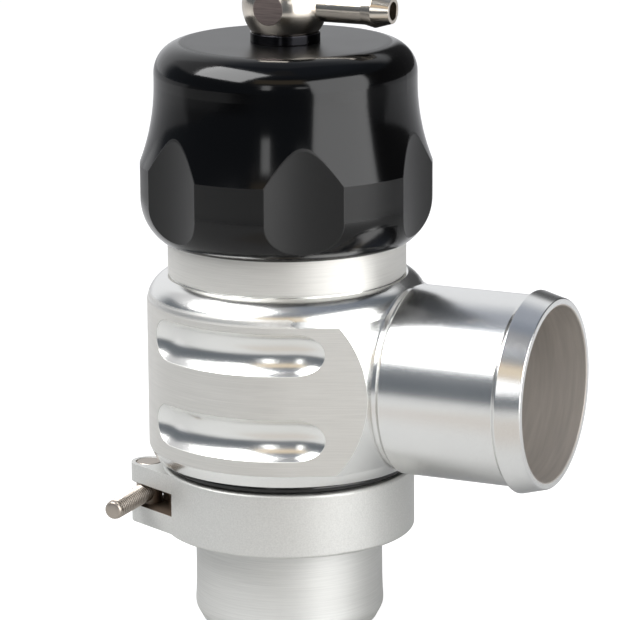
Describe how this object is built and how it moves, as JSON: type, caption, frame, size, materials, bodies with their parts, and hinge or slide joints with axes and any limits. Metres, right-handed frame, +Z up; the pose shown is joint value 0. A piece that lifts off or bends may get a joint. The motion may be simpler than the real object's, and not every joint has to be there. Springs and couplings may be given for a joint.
{
  "type": "blow off valve",
  "caption": "Blow off valve with a clamped inlet hose tube, side outlet hose tube, sprung piston, scalloped screw cap and swivelling vacuum hose fitting.",
  "frame": {"origin": "centre of the inlet tube's lower rim, on the valve axis, where the valve stands", "axes": "+Z up the valve axis from the inlet to the cap, +X out along the side outlet, +Y completes a right-handed set; the clamp screw's head is on the +Y side"},
  "size_m": [0.0872, 0.0578, 0.1371],
  "materials": {
    "turned_aluminium": "fine turned",
    "blasted_aluminium": "bead blasted",
    "satin_aluminium": "satin with polished edges",
    "bright_aluminium": "bright turned",
    "black_anodised": "gloss black anodised",
    "nickel_plate": "bright nickel plate",
    "screw_steel": "plain",
    "spring_steel": "plain",
    "washer_metal": "plain",
    "seal_rubber": "smooth",
    "guide_plastic": "filled bearing plastic"
  },
  "bodies": {
    "base": {"inlet_adaptor": "turned_aluminium", "flange_o_ring": "seal_rubber", "clamp_ring": "blasted_aluminium", "clamp_screw": "screw_steel", "clamp_trunnion_front": "screw_steel", "clamp_trunnion_rear": "screw_steel"},
    "housing": {"valve_body": "satin_aluminium", "outlet_tube": "bright_aluminium", "outlet_o_ring": "seal_rubber", "cap_o_ring": "seal_rubber"},
    "valve": {"piston": "turned_aluminium", "guide_ring_lower": "guide_plastic", "guide_ring_upper": "guide_plastic", "piston_seal": "seal_rubber", "face_seal": "seal_rubber", "seal_retainer": "turned_aluminium", "seal_screw": "screw_steel"},
    "spring_carrier": {"spring_seat": "turned_aluminium", "spring": "spring_steel"},
    "cap": {"cap": "black_anodised", "banjo_bolt": "nickel_plate", "washer_lower": "washer_metal", "washer_upper": "washer_metal"},
    "fitting": {"vacuum_fitting": "nickel_plate"}
  },
  "joints": [
    {"name": "body_clocking", "type": "hinge", "parent": "base", "child": "housing", "pos_m": [0, 0, 0.02545], "axis": [0, 0, 1], "continuous": true},
    {"name": "valve_lift", "type": "slide", "parent": "housing", "child": "valve", "axis": [0, 0, 1], "range_m": [0, 0.015], "stiffness_N_per_m": 2000, "springref_m": -0.022, "deforming": ["spring"]},
    {"name": "cap_travel", "type": "slide", "parent": "housing", "child": "spring_carrier", "axis": [0, 0, 1], "range_m": [-0.006, 0.003], "deforming": ["spring"]},
    {"name": "cap_turn", "type": "hinge", "parent": "spring_carrier", "child": "cap", "pos_m": [0, 0, 0.1], "axis": [0, 0, 1], "range_deg": [-1440, 720]},
    {"name": "fitting_swivel", "type": "hinge", "parent": "cap", "child": "fitting", "pos_m": [0, 0, 0.1248], "axis": [0, 0, 1], "continuous": true}
  ],
  "couplings": [
    {"joint": "cap_turn", "follows": "cap_travel", "rad_per_m": 4188.8}
  ]
}
